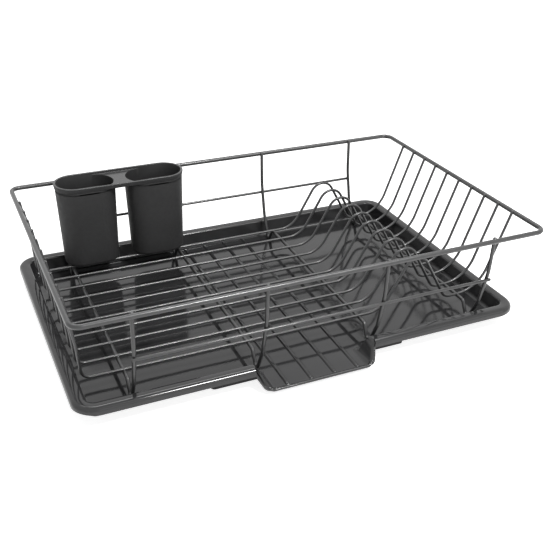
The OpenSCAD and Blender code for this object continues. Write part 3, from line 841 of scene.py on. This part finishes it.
def drain_cutters():
    drains = []
    for side in (-1, 1):
        for k in range(DRAINS):
            x = side * WELL_X + (k - (DRAINS - 1) / 2) * DRAIN_PITCH
            deselect_all()
            bpy.ops.mesh.primitive_cylinder_add(
                vertices=DRAIN_SIDES,
                radius=DRAIN_D / 2 * MM,
                depth=DRAIN_CUT * MM,
                location=(CUP + Vector((x, -CUP_LEAN, 0))) * MM,
            )
            drains.append(finish_mesh(into_edit(), "drain"))
    return joined("drains", drains)


def make_cup():
    well, hollow = outer_well(), inner_well()
    cup = cup_band()
    sunk, under = room_over_bridge(), room_under_bridge(well)
    on_both_wells(cup, well, "UNION")
    on_both_wells(cup, hollow, "DIFFERENCE")
    for cutter in (sunk, under, drain_cutters()):
        boolean(cup, cutter, "DIFFERENCE")
    for model in (well, hollow):
        bpy.data.objects.remove(model)
    select_only(cup)
    bpy.ops.object.mode_set(mode="EDIT")
    finish_mesh(cup, "cutlery_holder", smooth=38)
    hooks = make_hooks()
    for piece in (cup, hooks):
        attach(piece, "cup")
    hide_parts("cutlery_cup")
    return cup, hooks


def make_hooks():
    """Two strips that reach back over the rim from under the band, one behind each well."""
    under = RIM_Z - CUP.z + RIM_D / 2 + CLEAR
    inner = CUP_SET_BACK + RIM_D / 2 + CLEAR
    root = WELL_W / 2 - HOOK_ROOT

    def bend(y, z, r, angles):
        return [(y + r * math.sin(a), z + r * math.cos(a)) for a in angles]

    outline = [(root, under), (inner - HOOK_R, under)]
    outline += bend(inner - HOOK_R, under - HOOK_R, HOOK_R, HOOK_INNER_TURN)
    outline += [(inner, under - HOOK_R), (inner, under - HOOK_DROP)]
    outline += [(inner + HOOK_T, under - HOOK_DROP), (inner + HOOK_T, under)]
    outline += bend(inner, under, HOOK_T, HOOK_OUTER_TURN)
    outline += [(inner, under + HOOK_T), (root, under + HOOK_T)]

    def ring(x):
        return [(CUP + Vector((x, y, z))) * MM for y, z in outline]

    hooks = []
    for side in (-1, 1):
        rings = [ring(side * WELL_X + x) for x in (-HOOK_W / 2, HOOK_W / 2)]
        hooks.append(lofted("hook", rings))
    hooks = joined("cup_hooks", hooks)
    round_sharp_edges(hooks, segments=3, smooth=40)
    return hooks


# ---- Materials ----
class Surface:
    """A material built from nodes, starting from its principled shader."""

    def __init__(self, name, **constants):
        self.material = bpy.data.materials.new(name)
        self.material.use_nodes = True
        self.nodes = self.material.node_tree.nodes
        self.links = self.material.node_tree.links
        self.shader = self.nodes["Principled BSDF"]
        for key, value in constants.items():
            self.shader.inputs[key.replace("_", " ")].default_value = value
        self.coordinates = self.nodes.new("ShaderNodeTexCoord").outputs

    def add(self, kind, *inputs):
        """A node whose inputs are given by name as constants or as other nodes' outputs."""
        node = self.nodes.new("ShaderNode" + kind)
        for key, value in inputs:
            if isinstance(value, bpy.types.NodeSocket):
                self.links.new(value, node.inputs[key])
            else:
                node.inputs[key].default_value = value
        return node

    def noise(self, scale, detail):
        place = self.coordinates["Object"]
        node = self.add("TexNoise", ("Vector", place), ("Scale", scale), ("Detail", detail))
        return node.outputs["Fac"]

    def ranged(self, value, low, high, start=NOISE_LOW, end=NOISE_HIGH):
        """Spreads a value between start and end over low to high."""
        ends = (("From Min", start), ("From Max", end), ("To Min", low), ("To Max", high))
        return self.add("MapRange", ("Value", value), *ends).outputs["Result"]

    def colour(self, value, dark, light):
        node = self.add("ValToRGB", ("Fac", value))
        first, last = node.color_ramp.elements
        first.position, last.position = NOISE_LOW, NOISE_HIGH
        first.color, last.color = (*dark, 1), (*light, 1)
        return node.outputs["Color"]

    def bump(self, height, distance, strength, below=None):
        """A bump from a height in metres, over the bump below if there is one."""
        node = self.add("Bump", ("Height", height), ("Distance", distance), ("Strength", strength))
        if below:
            self.links.new(below, node.inputs["Normal"])
        return node.outputs["Normal"]

    def set(self, **outputs):
        for key, output in outputs.items():
            self.links.new(output, self.shader.inputs[key.replace("_", " ")])


def grey(value, blue):
    """A grey with its blue raised by a factor."""
    return (value, value, value * blue)


def wire_coating(name, base, grain):
    """Dark grey baked coating on steel wire: satin, with a fine orange peel and slightly uneven
    tone."""
    s = Surface(name, Specular_IOR_Level=0.5, Coat_Weight=0.5, Coat_Roughness=0.08)
    s.set(Base_Color=s.colour(s.noise(60, 4), grey(base * 0.85, 1.02), grey(base * 1.15, 1.02)))
    s.set(Roughness=s.ranged(s.noise(190, 3), 0.30, 0.38))
    swell = s.bump(s.noise(grain, 3), 0.00012, 0.5)
    s.set(Normal=s.bump(s.noise(grain * 3.2, 2), 0.00004, 0.6, swell))
    return s.material


def glossy_plastic():
    """Dark grey moulded plastic: mirror-like with a faint waviness and rare fine specks."""
    s = Surface("moulded_gloss", Specular_IOR_Level=0.5, IOR=1.5)
    s.set(Base_Color=s.colour(s.noise(9, 3), grey(0.021, 1.03), grey(0.026, 1.03)))
    s.set(Roughness=s.ranged(s.noise(40, 4), 0.075, 0.115))
    wave = s.bump(s.noise(26, 1), 0.0007, 0.35)
    s.set(Normal=s.bump(s.noise(900, 2), 0.00001, 0.25, wave))
    return s.material


def matte_plastic():
    """Charcoal moulded plastic with a fine spark-eroded grain and a randomly uneven tone, smoother
    where it faces up, with a painted highlight that lightens its colour on upward faces."""
    s = Surface("moulded_matte", Specular_IOR_Level=0.5)
    facing = s.add("SeparateXYZ", ("Vector", s.coordinates["Normal"])).outputs["Z"]
    # Painted highlight: the colour runs from a random tone on the sides to lighter greys as the
    # faces turn upward
    upward = s.ranged(facing, s.noise(30, 5), 1, 0.2, 0.8)
    painted_top_light = s.colour(upward, grey(0.016, 1.02), grey(0.020, 1.02))
    # Faces that point straight up get a much lighter grey, which is a painted highlight
    painted_top_light.node.color_ramp.elements.new(1).color = (*grey(0.05, 1.02), 1)
    s.set(Base_Color=painted_top_light)
    s.set(Roughness=s.ranged(facing, s.ranged(s.noise(220, 3), 0.54, 0.66), 0.2, 0.2, 0.8))
    grain = s.bump(s.noise(1500, 2), 0.00003, 0.5)
    s.set(Normal=s.bump(s.noise(400, 2), 0.00004, 0.3, grain))
    return s.material


def dress(objects, material):
    for obj in objects:
        obj.data.materials.clear()
        obj.data.materials.append(material)


# ---- Surroundings, in metres ----
# Strengths for soft light, as gloss shows the surface, and as the camera sees it
FLOOR_LEVELS, WORLD_LEVELS = (0.3, 0.45, 0.84), (0.36, 1.0, 1.0)
FLOOR_SIZE = 8
# Name, place, size and power of each light, all aimed at the rack
LIGHTS = (
    ("softbox_front", (0.36, -0.92, 1.5), (0.4, 0.3), 25),
    ("softbox_side", (0.72, -0.2, 1.5), (0.7, 0.3), 4),
    ("softbox_back", (0.05, 0.84, 1.55), (1.1, 0.3), 7.5),
    ("softbox_low", (0.5, -1.3, 0.6), (1.4, 0.6), 1.6),
)
# Camera: place in millimetres, turns in radians, and focal length and shift in widths of its frame
CAMERA_PLACE = (-327.16, -735.95, 476.61)
CAMERA_YAW, CAMERA_PITCH, CAMERA_ROLL = 0.43, 0.50355, 0.01922
SENSOR_W, FOCAL_SHARE, SHIFT_SHARE, CLIP_START = 36, 834.756 / 550, 0.5 / 550, 0.01


def background_level(nodes, links, plain, gloss, seen):
    """A strength that is plain for soft light, gloss where gloss or glass shows the surface,
    and seen for the camera."""
    ray = nodes.new("ShaderNodeLightPath")
    either = nodes.new("ShaderNodeMath")
    either.operation = "MAXIMUM"
    links.new(ray.outputs["Is Glossy Ray"], either.inputs[0])
    links.new(ray.outputs["Is Transmission Ray"], either.inputs[1])
    shown = nodes.new("ShaderNodeMapRange")
    shown.inputs["To Min"].default_value = plain
    shown.inputs["To Max"].default_value = gloss
    links.new(either.outputs[0], shown.inputs["Value"])
    level = nodes.new("ShaderNodeMapRange")
    level.inputs["To Max"].default_value = seen
    links.new(shown.outputs["Result"], level.inputs["To Min"])
    links.new(ray.outputs["Is Camera Ray"], level.inputs["Value"])
    return level.outputs["Result"]


def make_floor():
    deselect_all()
    bpy.ops.mesh.primitive_plane_add(size=FLOOR_SIZE, location=(0, 0, 0))
    floor = bpy.context.object
    floor.name = "studio_floor"
    white, pale = (1, 1, 1, 1), (0.8, 0.8, 0.8, 1)
    s = Surface("pale_floor", Base_Color=pale, Emission_Color=white, Specular_IOR_Level=0.1)
    s.set(Emission_Strength=background_level(s.nodes, s.links, *FLOOR_LEVELS))
    s.set(Roughness=s.ranged(s.noise(3, 2), 0.85, 0.95))
    dress([floor], s.material)


def make_world():
    world = bpy.data.worlds.new("studio")
    bpy.context.scene.world = world
    world.use_nodes = True
    nodes, links = world.node_tree.nodes, world.node_tree.links
    background = nodes["Background"]
    background.inputs["Color"].default_value = (1, 1, 1, 1)
    links.new(background_level(nodes, links, *WORLD_LEVELS), background.inputs["Strength"])


def make_light(name, place, size, power):
    light = bpy.data.lights.new(name, "AREA")
    light.shape = "RECTANGLE"
    light.size, light.size_y = size
    light.energy = power
    obj = bpy.data.objects.new(name, light)
    obj.location = place
    obj.rotation_euler = (-Vector(place)).to_track_quat("-Z", "Y").to_euler()
    bpy.context.scene.collection.objects.link(obj)


def make_camera():
    data = bpy.data.cameras.new("camera")
    camera = bpy.data.objects.new("camera", data)
    bpy.context.scene.collection.objects.link(camera)
    yaw, pitch, roll = CAMERA_YAW, CAMERA_PITCH, CAMERA_ROLL
    ahead = math.cos(pitch)
    forward = Vector((math.sin(yaw) * ahead, math.cos(yaw) * ahead, -math.sin(pitch)))
    level = Vector((math.cos(yaw), -math.sin(yaw), 0))
    upward = level.cross(forward)
    right = math.cos(roll) * level + math.sin(roll) * upward
    up = -math.sin(roll) * level + math.cos(roll) * upward
    turn = Matrix((right, up, -forward)).transposed().to_4x4()
    camera.matrix_world = Matrix.Translation(Vector(CAMERA_PLACE) * MM) @ turn
    data.sensor_width = SENSOR_W
    data.lens = SENSOR_W * FOCAL_SHARE
    data.shift_x, data.shift_y = -SHIFT_SHARE, SHIFT_SHARE
    data.clip_start = CLIP_START
    bpy.context.scene.camera = camera


# ---- The rack ----
tray = make_tray()
ribs = make_floor_ribs()
pads = make_pads()
basket = make_basket()
beads = make_weld_beads()
cup, hooks = make_cup()

coating = wire_coating("coated_wire", 0.022, 700)
# The rim wears the wires' coating with a lighter base: painted light for the rim's brighter look
# under the lamps
painted_lighter_rim_coating = wire_coating("coated_rim_painted_lighter", 0.029, 600)
dress([piece for node, piece in basket.items() if node != "rim"] + [beads], coating)
dress([basket["rim"]], painted_lighter_rim_coating)
dress([tray, ribs, pads], glossy_plastic())
dress([cup, hooks], matte_plastic())

make_floor()
make_world()
for light in LIGHTS:
    make_light(*light)
make_camera()

bpy.context.scene.view_settings.view_transform = "Standard"
